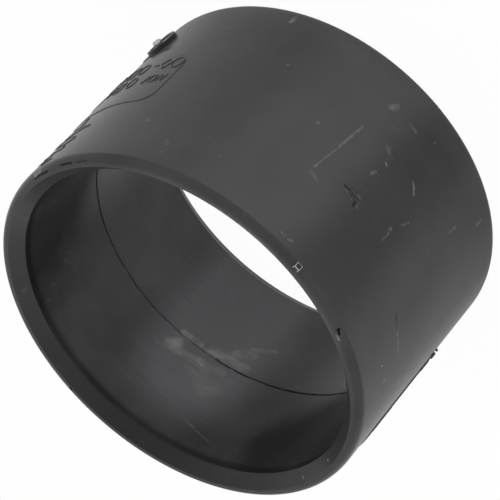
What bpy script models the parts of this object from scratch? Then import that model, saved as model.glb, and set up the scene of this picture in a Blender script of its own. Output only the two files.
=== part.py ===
"""Coupling for 1 1/2 inch drain pipe, moulded in one piece of black ABS.

A plain sleeve with a socket in each end. The two sockets taper to a fine line
at the middle of the length, where the two cores of the mould met. The outside
is a straight cylinder that carries what the mould left on it: a parting ridge
down each side, the round pad of the gate with its broken stub, and two shallow
raised panels, one on each half.

Metres, +Z along the bore. The coupling stands on one end, with the origin at
the middle of that end. The gate is at +X and the mould parted in the YZ plane.
"""

import math

import bmesh
import bpy

# Pipe and sockets
PIPE_DIAMETER = 0.04826
MOUTH_CLEARANCE = 0.00038  # on the diameter, where the pipe enters
SOCKET_TAPER = 0.00072  # lost on the diameter from mouth to middle
SOCKET_DEPTH = 0.01775  # of each of the two sockets
WALL_AT_MOUTH = 0.00285

# Rim, from the outside in: rounded edge, narrow flat, lead-in to the socket
OUTER_EDGE_RADIUS = 0.00090
RIM_FLAT = 0.00065
LEAD_IN_DEPTH = 0.00170

# Lines where the parts of the mould met
CORE_LINE_WIDTH = 0.00022
CORE_LINE_HEIGHT = 0.00009
PARTING_RIDGE_WIDTH = 0.00036
PARTING_RIDGE_HEIGHT = 0.00008
RIM_NIB_SIZE = 0.00060
RIM_NIB_BELOW_RIM = 0.00010

# Gate
GATE_FROM_END = 0.00630
GATE_FROM_MIDDLE = -0.00040  # round the wall from +X
GATE_PAD_DIAMETER = 0.00460
GATE_PAD_HEIGHT = 0.00058
GATE_DISH_DIAMETER = 0.00370
GATE_DISH_DEPTH = 0.00018
GATE_STUB_DIAMETER = 0.00125
GATE_STUB_OFF_CENTRE = 0.00025  # both round the wall and up it
GATE_STUB_HEIGHT = 0.00098  # of the middle of its broken face, above the wall
GATE_STUB_SLANT_ROUND = 0.30  # rise of the broken face for each unit round the wall
GATE_STUB_SLANT_UP = -0.17  # and for each unit up the wall

# Raised panel on the gate's half, and the larger one opposite
GATE_PANEL_WIDTH = 0.02290
GATE_PANEL_LENGTH = 0.01030
GATE_PANEL_CORNER = 0.00220
GATE_PANEL_HEIGHT = 0.00010
BACK_PANEL_WIDTH = 0.01770
BACK_PANEL_LENGTH = 0.01820
BACK_PANEL_CORNER = 0.00250
BACK_PANEL_HEIGHT = 0.00020
BACK_PANEL_OFFSET = 0.00235  # of its middle, above the middle of the length
BACK_PIP_DIAMETER = 0.00110
BACK_PIP_HEIGHT = 0.00034
BACK_PIP_FROM_SIDE = 0.00060
BACK_PIP_FROM_FOOT = 0.00160
BACK_BAR_COUNT = 5  # raised bars in a row across the panel, level with the pip
BACK_BAR_WIDTH = 0.00120
BACK_BAR_LENGTH = 0.00200
BACK_BAR_CORNER = 0.00030
BACK_BAR_PITCH = 0.00280
BACK_BAR_HEIGHT = 0.00034

# Fineness of the facets
STEPS_AROUND = 128  # a multiple of 4, so that a column stands on each ridge
STEPS_ON_EDGE = 5
STEPS_ON_LEAD_IN = 5
STEPS_ON_CORNER = 6
STEPS_ROUND_GATE = 32
STEPS_ROUND_STUB = 16

# Sizes that follow from those above
MOUTH_RADIUS = (PIPE_DIAMETER + MOUTH_CLEARANCE) / 2
MIDDLE_RADIUS = MOUTH_RADIUS - SOCKET_TAPER / 2
OUTER_RADIUS = MOUTH_RADIUS + WALL_AT_MOUTH
LEAD_IN_WIDTH = WALL_AT_MOUTH - OUTER_EDGE_RADIUS - RIM_FLAT
LENGTH = 2 * SOCKET_DEPTH
ROOT_DEPTH = WALL_AT_MOUTH / 4  # how far a raised form reaches into the wall

PANEL_SIDE = 0.0
GATE_SIDE = GATE_FROM_MIDDLE / OUTER_RADIUS
BACK_SIDE = math.pi
PARTING_SIDES = (-math.pi / 2, math.pi / 2)
NIB_SIDE = PARTING_SIDES[0]


def clear_scene():
    for thing in list(bpy.data.objects):
        bpy.data.objects.remove(thing, do_unlink=True)


def make_black_abs():
    """Black ABS with the dull gloss of a moulded skin."""
    material = bpy.data.materials.new("black_abs")
    material.use_nodes = True
    shader = material.node_tree.nodes["Principled BSDF"]
    shader.inputs["Base Color"].default_value = (0.028, 0.028, 0.031, 1.0)
    shader.inputs["Roughness"].default_value = 0.42
    shader.inputs["Metallic"].default_value = 0.0
    return material


def half_section():
    """Upper half of the wall's section, from the core line out and round.

    Each point is a radius, a height above the middle of the length, and the
    lift of the parting ridge there, outwards and upwards.
    """
    top = SOCKET_DEPTH
    points = [
        (MIDDLE_RADIUS - CORE_LINE_HEIGHT, 0.0, 0.0, 0.0),
        (MIDDLE_RADIUS, CORE_LINE_WIDTH / 2, 0.0, 0.0),
    ]
    for step in range(STEPS_ON_LEAD_IN + 1):
        angle = math.pi / 2 * step / STEPS_ON_LEAD_IN
        radius = MOUTH_RADIUS + LEAD_IN_WIDTH * (1 - math.cos(angle))
        height = top - LEAD_IN_DEPTH * (1 - math.sin(angle))
        points.append((radius, height, 0.0, 0.0))
    for step in range(STEPS_ON_EDGE + 1):
        angle = math.pi / 2 * (1 - step / STEPS_ON_EDGE)
        outward = math.cos(angle)
        upward = math.sin(angle)
        radius = OUTER_RADIUS - OUTER_EDGE_RADIUS * (1 - outward)
        height = top - OUTER_EDGE_RADIUS * (1 - upward)
        lift = PARTING_RIDGE_HEIGHT * outward
        points.append((radius, height, lift * outward, lift * upward))
    return points


def wall_section():
    """The whole closed section: the upper half, then its mirror image."""
    upper = half_section()
    lower = [(r, -z, out, -up) for r, z, out, up in reversed(upper[1:])]
    return upper + lower


def column_angles():
    """Even steps round the wall, with a ridge's foot on each side of a ridge."""
    foot = PARTING_RIDGE_WIDTH / 2 / OUTER_RADIUS
    columns = []
    for n in range(STEPS_AROUND):
        angle = 2 * math.pi * n / STEPS_AROUND - math.pi
        if any(abs(angle - side) < foot for side in PARTING_SIDES):
            columns += [(angle - foot, 0.0), (angle, 1.0), (angle + foot, 0.0)]
        else:
            columns.append((angle, 0.0))
    return columns


def new_object(name, mesh_maker):
    """A mesh object from a bmesh, with its faces turned outwards."""
    bmesh.ops.recalc_face_normals(mesh_maker, faces=mesh_maker.faces)
    mesh = bpy.data.meshes.new(name)
    mesh_maker.to_mesh(mesh)
    mesh_maker.free()
    thing = bpy.data.objects.new(name, mesh)
    bpy.context.scene.collection.objects.link(thing)
    return thing


def make_wall():
    """Sweep the section round the bore, one column of points at a time."""
    section = wall_section()
    maker = bmesh.new()
    rings = []
    for angle, ridge in column_angles():
        column = []
        for radius, height, out, up in section:
            reach = radius + ridge * out
            place = (
                reach * math.cos(angle),
                reach * math.sin(angle),
                SOCKET_DEPTH + height + ridge * up,
            )
            column.append(maker.verts.new(place))
        rings.append(column)
    for n, column in enumerate(rings):
        following = rings[(n + 1) % len(rings)]
        for k in range(len(section)):
            after = (k + 1) % len(section)
            maker.faces.new((column[k], following[k], following[after], column[after]))
    return new_object("coupling_body", maker)


def circle_outline(diameter, steps):
    """Points round a circle, as distances along the wall and up it."""
    turn = 2 * math.pi / steps
    return [
        (diameter / 2 * math.cos(turn * n), diameter / 2 * math.sin(turn * n))
        for n in range(steps)
    ]


def panel_outline(width, length, corner):
    """Points round a rectangle with rounded corners."""
    outline = []
    for quarter in range(4):
        across = 1 if quarter in (0, 3) else -1
        along = 1 if quarter in (0, 1) else -1
        for step in range(STEPS_ON_CORNER + 1):
            angle = math.pi / 2 * (quarter + step / STEPS_ON_CORNER)
            outline.append((
                across * (width / 2 - corner) + corner * math.cos(angle),
                along * (length / 2 - corner) + corner * math.sin(angle),
            ))
    return outline


def boolean(thing, other, operation):
    """Apply one Boolean and delete the other solid."""
    cut = thing.modifiers.new(operation.lower(), "BOOLEAN")
    cut.operation = operation
    cut.solver = "EXACT"
    cut.object = other
    graph = bpy.context.evaluated_depsgraph_get()
    mesh = bpy.data.meshes.new_from_object(thing.evaluated_get(graph))
    thing.modifiers.remove(cut)
    old = thing.data
    thing.data = mesh
    bpy.data.meshes.remove(old)
    bpy.data.objects.remove(other, do_unlink=True)


def make_drum(radius):
    """A round bar past both ends, with facets that face the same way as the wall's."""
    maker = bmesh.new()
    low = []
    high = []
    for n in range(STEPS_AROUND):
        angle = 2 * math.pi * n / STEPS_AROUND
        across = (radius * math.cos(angle), radius * math.sin(angle))
        low.append(maker.verts.new((*across, -SOCKET_DEPTH)))
        high.append(maker.verts.new((*across, LENGTH + SOCKET_DEPTH)))
    maker.faces.new(low)
    maker.faces.new(high)
    for n in range(STEPS_AROUND):
        after = (n + 1) % STEPS_AROUND
        maker.faces.new((low[n], low[after], high[after], high[n]))
    return new_object("drum", maker)


def make_slab(name, outline, side, height, inner, outer):
    """A solid over an outline on the wall, between two radii.

    The outline is wrapped round the wall, so its width is measured along it.
    """
    maker = bmesh.new()
    near = []
    far = []
    for along, up in outline:
        turn = along / OUTER_RADIUS
        across = OUTER_RADIUS * math.sin(turn)
        for reach, ring in ((inner * math.cos(turn) - ROOT_DEPTH, near), (2 * OUTER_RADIUS, far)):
            x = reach * math.cos(side) - across * math.sin(side)
            y = reach * math.sin(side) + across * math.cos(side)
            ring.append(maker.verts.new((x, y, height + up)))
    maker.faces.new(near)
    maker.faces.new(far)
    for n in range(len(outline)):
        after = (n + 1) % len(outline)
        maker.faces.new((near[n], near[after], far[after], far[n]))
    slab = new_object(name, maker)
    boolean(slab, make_drum(outer), "INTERSECT")
    boolean(slab, make_drum(inner), "DIFFERENCE")
    return slab


def make_peg(name, diameter, side, height, reach, slants=(0.0, 0.0)):
    """A round peg standing on the wall, its end cut at a slant."""
    maker = bmesh.new()
    root = []
    end = []
    for n in range(STEPS_ROUND_STUB):
        angle = 2 * math.pi * n / STEPS_ROUND_STUB
        across = diameter / 2 * math.cos(angle)
        up = diameter / 2 * math.sin(angle)
        tip = OUTER_RADIUS + reach + slants[0] * across + slants[1] * up
        for out, ring in ((OUTER_RADIUS - ROOT_DEPTH, root), (tip, end)):
            x = out * math.cos(side) - across * math.sin(side)
            y = out * math.sin(side) + across * math.cos(side)
            ring.append(maker.verts.new((x, y, height + up)))
    maker.faces.new(root)
    maker.faces.new(end)
    for n in range(STEPS_ROUND_STUB):
        after = (n + 1) % STEPS_ROUND_STUB
        maker.faces.new((root[n], root[after], end[after], end[n]))
    return new_object(name, maker)


def add_gate(body):
    """A dished round pad with the stub that was left when the runner broke off."""
    pad_top = OUTER_RADIUS + GATE_PAD_HEIGHT
    pad = make_slab(
        "gate_pad", circle_outline(GATE_PAD_DIAMETER, STEPS_ROUND_GATE),
        GATE_SIDE, GATE_FROM_END, OUTER_RADIUS - ROOT_DEPTH, pad_top,
    )
    boolean(body, pad, "UNION")
    dish = make_slab(
        "gate_dish", circle_outline(GATE_DISH_DIAMETER, STEPS_ROUND_GATE),
        GATE_SIDE, GATE_FROM_END, pad_top - GATE_DISH_DEPTH, pad_top + ROOT_DEPTH,
    )
    boolean(body, dish, "DIFFERENCE")
    stub = make_peg(
        "gate_stub", GATE_STUB_DIAMETER, GATE_SIDE + GATE_STUB_OFF_CENTRE / OUTER_RADIUS,
        GATE_FROM_END + GATE_STUB_OFF_CENTRE, GATE_STUB_HEIGHT,
        (GATE_STUB_SLANT_ROUND, GATE_STUB_SLANT_UP),
    )
    boolean(body, stub, "UNION")


def add_panels(body):
    """One raised panel on each half. The back one carries a row of bars and a pip."""
    gate_panel = make_slab(
        "gate_panel", panel_outline(GATE_PANEL_WIDTH, GATE_PANEL_LENGTH, GATE_PANEL_CORNER),
        PANEL_SIDE, SOCKET_DEPTH, OUTER_RADIUS - ROOT_DEPTH, OUTER_RADIUS + GATE_PANEL_HEIGHT,
    )
    boolean(body, gate_panel, "UNION")
    back_height = SOCKET_DEPTH + BACK_PANEL_OFFSET
    back_panel = make_slab(
        "back_panel", panel_outline(BACK_PANEL_WIDTH, BACK_PANEL_LENGTH, BACK_PANEL_CORNER),
        BACK_SIDE, back_height, OUTER_RADIUS - ROOT_DEPTH, OUTER_RADIUS + BACK_PANEL_HEIGHT,
    )
    boolean(body, back_panel, "UNION")
    pip_side = BACK_SIDE + (BACK_PANEL_WIDTH / 2 - BACK_PIP_FROM_SIDE) / OUTER_RADIUS
    pip_height = back_height - BACK_PANEL_LENGTH / 2 + BACK_PIP_FROM_FOOT
    pip = make_peg("back_pip", BACK_PIP_DIAMETER, pip_side, pip_height, BACK_PIP_HEIGHT)
    boolean(body, pip, "UNION")
    for n in range(BACK_BAR_COUNT):
        along = (n - (BACK_BAR_COUNT - 1) / 2) * BACK_BAR_PITCH
        bar = make_slab(
            "back_bar", panel_outline(BACK_BAR_WIDTH, BACK_BAR_LENGTH, BACK_BAR_CORNER),
            BACK_SIDE + along / OUTER_RADIUS, pip_height,
            OUTER_RADIUS - ROOT_DEPTH, OUTER_RADIUS + BACK_BAR_HEIGHT,
        )
        boolean(body, bar, "UNION")


def add_rim_nib(body):
    """The square nib that fills the rounded edge where a parting ridge meets the rim."""
    maker = bmesh.new()
    bmesh.ops.create_cube(maker, size=RIM_NIB_SIZE)
    reach = OUTER_RADIUS + PARTING_RIDGE_HEIGHT - RIM_NIB_SIZE / 2
    height = LENGTH - RIM_NIB_BELOW_RIM - RIM_NIB_SIZE / 2
    place = (reach * math.cos(NIB_SIDE), reach * math.sin(NIB_SIDE), height)
    bmesh.ops.translate(maker, verts=maker.verts, vec=place)
    boolean(body, new_object("rim_nib", maker), "UNION")


def finish(body, material):
    """Smooth shading on the turned faces, sharp at the true edges."""
    body.data.materials.clear()
    body.data.materials.append(material)
    body.data.shade_smooth()
    body.data.set_sharp_from_angle(angle=math.radians(35))


clear_scene()
coupling_body = make_wall()
add_gate(coupling_body)
add_panels(coupling_body)
add_rim_nib(coupling_body)
finish(coupling_body, make_black_abs())
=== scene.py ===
"""Looks of the coupling for 1 1/2 inch drain pipe, one moulding of black ABS.

Metres, in the frame of the solids: +Z along the bore, the gate at +X, and the
mould parted in the YZ plane. The coupling stands on its lower rim.
"""

import math

import bmesh
import bpy
from mathutils import Matrix, Vector


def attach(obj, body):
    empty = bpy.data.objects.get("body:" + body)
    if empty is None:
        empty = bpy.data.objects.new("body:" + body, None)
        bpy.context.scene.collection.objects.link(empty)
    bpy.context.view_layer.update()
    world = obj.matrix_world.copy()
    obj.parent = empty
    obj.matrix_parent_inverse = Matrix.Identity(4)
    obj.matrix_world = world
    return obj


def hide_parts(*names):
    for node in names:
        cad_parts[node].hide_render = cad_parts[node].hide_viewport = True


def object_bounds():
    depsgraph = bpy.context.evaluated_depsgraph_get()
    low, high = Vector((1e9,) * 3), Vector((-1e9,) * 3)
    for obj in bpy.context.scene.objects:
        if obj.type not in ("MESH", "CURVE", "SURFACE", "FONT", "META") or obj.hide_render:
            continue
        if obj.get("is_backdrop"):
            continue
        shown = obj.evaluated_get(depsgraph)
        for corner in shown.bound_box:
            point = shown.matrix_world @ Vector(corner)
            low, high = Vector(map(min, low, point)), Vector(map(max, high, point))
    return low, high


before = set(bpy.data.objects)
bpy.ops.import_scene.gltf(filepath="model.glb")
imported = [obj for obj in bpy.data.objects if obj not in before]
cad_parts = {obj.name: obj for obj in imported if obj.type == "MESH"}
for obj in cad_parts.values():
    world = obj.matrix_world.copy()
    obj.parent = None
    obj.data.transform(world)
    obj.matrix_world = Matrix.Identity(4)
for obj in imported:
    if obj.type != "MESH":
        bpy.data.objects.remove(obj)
size_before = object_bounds()

# The wall is a plain sleeve of black ABS, moulded over two cores that met at
# the middle of the bore and left a fine line there. Its two outer moulds met
# in a ridge down each side, which runs on round the rounded edges of the rims.
MOUTH_RADIUS = 0.02432
SOCKET_TAPER = 0.00036  # lost on the radius from the mouth to the middle
SOCKET_DEPTH = 0.01775
WALL_AT_MOUTH = 0.00285
EDGE_RADIUS = 0.00090  # how far the rounded outer edge takes off the rim
EDGE_HEIGHT = 0.00140  # how far it runs down the outside
RIM_FLAT = 0.00045
LEAD_IN_DEPTH = 0.00170
LEAD_IN_WIDTH = WALL_AT_MOUTH - EDGE_RADIUS - RIM_FLAT
CORE_LINE_WIDTH = 0.00022
CORE_LINE_HEIGHT = 0.00009
PARTING_RIDGE_WIDTH = 0.00036
PARTING_RIDGE_HEIGHT = 0.00008
PARTING_SIDES = (-math.pi / 2, math.pi / 2)
OUTER_RADIUS = MOUTH_RADIUS + WALL_AT_MOUTH
MIDDLE_RADIUS = MOUTH_RADIUS - SOCKET_TAPER
LENGTH = 2 * SOCKET_DEPTH

COLUMNS_AROUND = 640
COLUMNS_ON_RIDGE = 6
ROWS_ON_RUN = {"core line": 1, "socket": 10, "lead-in": 8, "rim flat": 2, "edge": 8, "outside": 11}


def add_node(tree, kind, inputs=None, **settings):
    """Add a node, set its properties, and fill its sockets with values or links."""
    node = tree.nodes.new(kind)
    for name, value in settings.items():
        setattr(node, name, value)
    for key, value in (inputs or {}).items():
        if isinstance(value, bpy.types.NodeSocket):
            tree.links.new(value, node.inputs[key])
        else:
            node.inputs[key].default_value = value
    return node


def calculate(tree, operation, *values):
    """One sum in a tree, given as values or sockets."""
    return add_node(tree, "ShaderNodeMath", dict(enumerate(values)), operation=operation).outputs[0]


def total(tree, *values):
    """The sum of several sockets."""
    result = values[0]
    for value in values[1:]:
        result = calculate(tree, "ADD", result, value)
    return result


def new_shape_tree(name, inputs):
    """A Geometry Nodes tree with named inputs, and the node that gives them."""
    tree = bpy.data.node_groups.new(name, "GeometryNodeTree")
    tree.interface.new_socket(name="Geometry", in_out="INPUT", socket_type="NodeSocketGeometry")
    for label, kind in inputs.items():
        tree.interface.new_socket(name=label, in_out="INPUT", socket_type="NodeSocket" + kind)
    tree.interface.new_socket(name="Geometry", in_out="OUTPUT", socket_type="NodeSocketGeometry")
    return tree, add_node(tree, "NodeGroupInput").outputs


def end_shape_tree(tree, shape, material):
    """Realize Instances and Set Material, then the tree's output."""
    real = add_node(tree, "GeometryNodeRealizeInstances", {"Geometry": shape})
    painted = add_node(tree, "GeometryNodeSetMaterial", {"Geometry": real.outputs[0], "Material": material})
    add_node(tree, "NodeGroupOutput", {"Geometry": painted.outputs[0]})


def make_shape(name, tree, start, values):
    """Run a tree on a starting mesh and keep the result as a plain mesh object."""
    piece = bpy.data.objects.new(name, start)
    bpy.context.scene.collection.objects.link(piece)
    nodes = piece.modifiers.new("shape", "NODES")
    nodes.node_group = tree
    for item in tree.interface.items_tree:
        if item.in_out == "INPUT" and item.name in values:
            nodes[item.identifier] = values[item.name]
    graph = bpy.context.evaluated_depsgraph_get()
    mesh = bpy.data.meshes.new_from_object(piece.evaluated_get(graph))
    piece.modifiers.remove(nodes)
    piece.data = mesh
    bpy.data.meshes.remove(start)
    mesh.name = name
    return piece


def close_and_shade(piece, sharp_angle):
    """Faces outwards, smooth shading, and sharp lines at the true edges."""
    maker = bmesh.new()
    maker.from_mesh(piece.data)
    bmesh.ops.dissolve_degenerate(maker, dist=1e-7, edges=maker.edges)
    bmesh.ops.recalc_face_normals(maker, faces=maker.faces)
    maker.to_mesh(piece.data)
    maker.free()
    piece.data.shade_smooth()
    piece.data.set_sharp_from_angle(angle=math.radians(sharp_angle))


def chain_mesh(name, points, closed=False):
    """A mesh of edges only, from point to point."""
    mesh = bpy.data.meshes.new(name)
    edges = [(n, n + 1) for n in range(len(points) - 1)]
    if closed:
        edges.append((len(points) - 1, 0))
    mesh.from_pydata(points, edges, [])
    return mesh


def wall_columns():
    """Even steps round the wall, and closer ones over each parting ridge.

    Each point is an angle and the height of the ridge there, from 0 to 1.
    """
    foot = PARTING_RIDGE_WIDTH / 2 / OUTER_RADIUS
    columns = []
    for n in range(COLUMNS_AROUND + 1):
        angle = 2 * math.pi * n / COLUMNS_AROUND - math.pi
        if any(abs(angle - side) < foot for side in PARTING_SIDES):
            for step in range(COLUMNS_ON_RIDGE + 1):
                across = 2 * step / COLUMNS_ON_RIDGE - 1
                columns.append((angle + foot * across, math.sqrt(1 - across * across), 0.0))
        else:
            columns.append((angle, 0.0, 0.0))
    return columns


def make_wall_tree():
    """Turn the section of the wall round the bore, over the columns it is given."""
    tree, given = new_shape_tree("turned_wall", {
        "Columns": "Int", "Middle Radius": "Float", "Socket Depth": "Float", "Socket Taper": "Float",
        "Lead-in Width": "Float", "Lead-in Depth": "Float", "Rim Flat": "Float",
        "Edge Radius": "Float", "Edge Height": "Float", "Core Line Width": "Float",
        "Core Line Height": "Float", "Ridge Height": "Float", "Material": "Material",
    })
    rows_in_half = sum(ROWS_ON_RUN.values())
    last_column = calculate(tree, "SUBTRACT", given["Columns"], 1)
    sheet = add_node(tree, "GeometryNodeMeshGrid", {
        "Size X": last_column, "Size Y": 2.0 * rows_in_half,
        "Vertices X": given["Columns"], "Vertices Y": 2 * rows_in_half + 1,
    })
    place = add_node(tree, "GeometryNodeInputPosition")
    part = add_node(tree, "ShaderNodeSeparateXYZ", {0: place.outputs[0]})
    column = calculate(tree, "ROUND", calculate(tree, "MULTIPLY_ADD", last_column, 0.5, part.outputs["X"]))
    station = add_node(tree, "GeometryNodeSampleIndex", {
        "Geometry": given["Geometry"], "Index": column,
    }, data_type="FLOAT_VECTOR", domain="POINT")
    tree.links.new(place.outputs[0], station.inputs["Value"])
    angle_and_ridge = add_node(tree, "ShaderNodeSeparateXYZ", {0: station.outputs[0]})
    angle = angle_and_ridge.outputs["X"]
    ridge = angle_and_ridge.outputs["Y"]
    row = calculate(tree, "ABSOLUTE", part.outputs["Y"])
    end = calculate(tree, "SIGN", part.outputs["Y"])

    run = {}
    start = 0
    for name, rows in ROWS_ON_RUN.items():
        run[name] = add_node(tree, "ShaderNodeMapRange", {
            "Value": row, "From Min": float(start), "From Max": float(start + rows),
        }).outputs[0]
        start += rows

    def quarter(operation, name):
        return calculate(tree, operation, calculate(tree, "MULTIPLY", run[name], math.pi / 2))

    edge_down = calculate(tree, "SUBTRACT", quarter("COSINE", "edge"), 1.0)
    core_line_gone = calculate(tree, "SUBTRACT", run["core line"], 1.0)
    half_core_line = calculate(tree, "MULTIPLY", given["Core Line Width"], 0.5)
    straight_of_socket = calculate(
        tree, "SUBTRACT", calculate(tree, "SUBTRACT", given["Socket Depth"], given["Lead-in Depth"]),
        half_core_line,
    )
    straight_outside = calculate(tree, "SUBTRACT", given["Edge Height"], given["Socket Depth"])
    radius = total(
        tree, given["Middle Radius"],
        calculate(tree, "MULTIPLY", given["Core Line Height"], core_line_gone),
        calculate(tree, "MULTIPLY", given["Socket Taper"], run["socket"]),
        calculate(tree, "MULTIPLY", given["Lead-in Width"], run["lead-in"]),
        calculate(tree, "MULTIPLY", given["Rim Flat"], run["rim flat"]),
        calculate(tree, "MULTIPLY", given["Edge Radius"], quarter("SINE", "edge")),
    )
    height = total(
        tree, calculate(tree, "MULTIPLY", half_core_line, run["core line"]),
        calculate(tree, "MULTIPLY", straight_of_socket, run["socket"]),
        calculate(tree, "MULTIPLY", given["Lead-in Depth"], run["lead-in"]),
        calculate(tree, "MULTIPLY", given["Edge Height"], edge_down),
        calculate(tree, "MULTIPLY", straight_outside, run["outside"]),
    )

    # The ridge was worn and trimmed unevenly, so its height wanders a little.
    wander = add_node(tree, "ShaderNodeTexNoise", {
        "W": calculate(tree, "MULTIPLY", part.outputs["Y"], 0.37),
    }, noise_dimensions="1D")
    uneven = add_node(tree, "ShaderNodeMapRange", {
        "Value": wander.outputs[0], "From Min": 0.3, "From Max": 0.7, "To Min": 0.45, "To Max": 1.0,
    }).outputs[0]
    lift = calculate(tree, "MULTIPLY", calculate(tree, "MULTIPLY", given["Ridge Height"], ridge), uneven)
    lift = calculate(tree, "MULTIPLY", lift, quarter("SINE", "edge"))
    radius = calculate(tree, "ADD", radius, lift)
    turned = add_node(tree, "ShaderNodeCombineXYZ", {
        "X": calculate(tree, "MULTIPLY", radius, calculate(tree, "COSINE", angle)),
        "Y": calculate(tree, "MULTIPLY", radius, calculate(tree, "SINE", angle)),
        "Z": calculate(tree, "MULTIPLY_ADD", end, height, given["Socket Depth"]),
    })
    wall = add_node(tree, "GeometryNodeSetPosition", {
        "Geometry": sheet.outputs[0], "Position": turned.outputs[0],
    })
    joined = add_node(tree, "GeometryNodeMergeByDistance", {"Geometry": wall.outputs[0], "Distance": 1e-6})
    end_shape_tree(tree, joined.outputs[0], given["Material"])
    return tree


CLEAN_COLOUR = (0.036, 0.036, 0.038, 1.0)
DULL_AND_LIT_COLOUR = (0.110, 0.110, 0.115, 1.0)
DUST_AND_LIGHT_COLOUR = (0.318, 0.318, 0.334, 1.0)  # grey dust in the bore, made paler still as painted light
SCUFF_COLOUR = (0.42, 0.42, 0.43, 1.0)
RUB_COLOUR = (0.66, 0.66, 0.645, 1.0)  # the pipes rubbed the dusty bore paler
# Near black for real cuts, and for the painted shade strokes listed among them.
CUT_AND_SHADE_COLOUR = (0.004, 0.004, 0.004, 1.0)
ABS_ROUGHNESS = 0.25
ABS_GLOSS = 0.18  # a dull moulded skin mirrors less than polished ABS
GRAIN_HEIGHT = 0.0000022
CUT_DEPTH = 0.00006
MARK_WANDER = 0.00016
STREAK_SLANT = math.radians(-14)
STREAK_STRETCH = (260.0, 1.0, 4200.0)
DULLNESS = {"outside": 0.50, "rim": 0.16, "bore": 0.0}
BORE_LIMIT = 0.0244  # the bore's wall is inside this radius
LEAD_IN_LIMIT = 0.0262  # both lead-ins are inside this radius
RIM_LIMIT = 0.0345  # the upper rim's rounded edge is above this height
MILLI = 0.001

# Each mark is where it starts and ends, in degrees round the part and
# millimetres up it, its half width and softness in millimetres, and its strength.
OUTSIDE_SCUFFS = {
    "long scratch, thin end": (-76.0, 22.2, -77.6, 16.9, 0.02, 0.17, 0.30),
    "long scratch, wide end": (-77.4, 16.9, -78.5, 12.2, 0.03, 0.22, 0.26),
    "smudge by the foot": (-80.7, 6.6, -81.7, 5.9, 0.10, 0.55, 0.30),
    "smudge at the lower edge": (-43.2, 2.8, -43.3, 1.8, 0.16, 0.22, 0.30),
    "speck over the panel": (-52.0, 10.4, -52.1, 10.3, 0.05, 0.16, 0.75),
    "faint rub, left": (-69.0, 16.3, -69.2, 16.2, 0.05, 0.26, 0.34),
    "rub before the scratch": (-76.5, 23.2, -78.7, 23.5, 0.03, 0.40, 0.15),
    "tick on the ridge": (-89.3, 13.6, -90.1, 13.9, 0.05, 0.10, 0.34),
    "rub on the ridge": (-88.4, 16.5, -89.0, 15.9, 0.05, 0.34, 0.20),
    "rub across the ridge": (-86.6, 11.6, -89.4, 12.4, 0.04, 0.36, 0.16),
    "scratch across the ridge": (-87.6, 6.2, -90.5, 6.5, 0.05, 0.14, 0.20),
    "streak beyond the ridge": (-98.6, 11.9, -101.0, 13.0, 0.04, 0.22, 0.34),
    "rub with a tail": (-102.3, 19.4, -102.8, 20.2, 0.05, 0.40, 0.17),
    "tail of the rub": (-102.8, 20.2, -102.6, 21.6, 0.02, 0.26, 0.10),
    "hooked rub": (-104.2, 17.5, -105.3, 16.3, 0.04, 0.22, 0.15),
    "rub to the right": (-117.7, 10.0, -118.2, 8.9, 0.03, 0.34, 0.14),
    "rub by the right edge": (-124.0, 4.4, -124.3, 3.3, 0.05, 0.28, 0.14),
    "rub at the upper rim": (-81.2, 33.2, -82.3, 33.1, 0.10, 0.16, 0.24),
    "rub at the upper rim, end": (-83.6, 33.2, -84.6, 33.0, 0.12, 0.16, 0.24),
    "hook by the panel": (-29.9, 26.9, -31.0, 27.3, 0.05, 0.22, 0.17),
    "speck by the upper rim": (-42.9, 31.6, -43.1, 31.6, 0.05, 0.10, 0.30),
    "speck below the rim": (-55.6, 29.2, -55.8, 29.2, 0.05, 0.10, 0.22),
    "two specks, upper": (-130.9, 29.8, -131.1, 29.8, 0.05, 0.11, 0.55),
    "two specks, lower": (-136.7, 29.5, -137.0, 29.5, 0.07, 0.12, 0.50),
    "faint streak": (-126.4, 25.4, -132.9, 26.0, 0.04, 0.16, 0.14),
    "speck by the ridge's foot": (-95.9, 5.0, -96.0, 4.9, 0.05, 0.10, 0.40),
    "speck beside it": (-97.4, 4.0, -97.5, 4.0, 0.04, 0.10, 0.26),
    "burr of the gouge, long": (-86.2, 21.4, -88.9, 21.8, 0.02, 0.10, 0.16),
    "burr of the gouge, inner": (-86.0, 20.9, -88.9, 21.1, 0.02, 0.08, 0.15),
    "burr of the gouge, end": (-89.4, 20.5, -90.9, 20.6, 0.03, 0.11, 0.26),
    "burr of the gouge, tail": (-90.2, 21.3, -91.4, 21.2, 0.03, 0.13, 0.30),
    "burr of the gouge, tip": (-91.0, 21.7, -91.5, 22.0, 0.03, 0.12, 0.24),
}
OUTSIDE_CUTS_AND_SHADE = {
    "gouge, deep start": (-85.0, 21.0, -86.9, 20.9, 0.05, 0.13, 0.72),
    "gouge, long side": (-86.9, 20.9, -89.4, 21.1, 0.03, 0.10, 0.62),
    "gouge, second side": (-86.6, 20.3, -89.4, 20.4, 0.02, 0.10, 0.42),
    "gouge, inner cut": (-87.1, 21.4, -88.7, 21.5, 0.03, 0.09, 0.55),
    "gouge, deep end": (-89.8, 21.5, -90.3, 22.3, 0.05, 0.14, 0.80),
    "gouge, hook": (-90.0, 20.9, -90.9, 21.4, 0.02, 0.09, 0.45),
    # Painted reflection: a dark stroke beside the pad stands in for the dark pad and stub mirrored in the
    # glossy wall.
    "painted reflection beside the pad": (-4.2, 8.7, -9.4, 9.3, 0.15, 0.80, 0.55),
    # Painted shade: a dark line in the corner at the foot of the gate panel's border.
    "painted shade along the gate panel": (-21.5, 12.52, -9.5, 12.52, 0.03, 0.10, 0.45),
    "nick to the right": (-121.9, 24.8, -123.4, 25.1, 0.05, 0.09, 0.7),
    "nick to the right, end": (-124.2, 25.2, -125.0, 25.4, 0.04, 0.09, 0.6),
}
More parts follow.
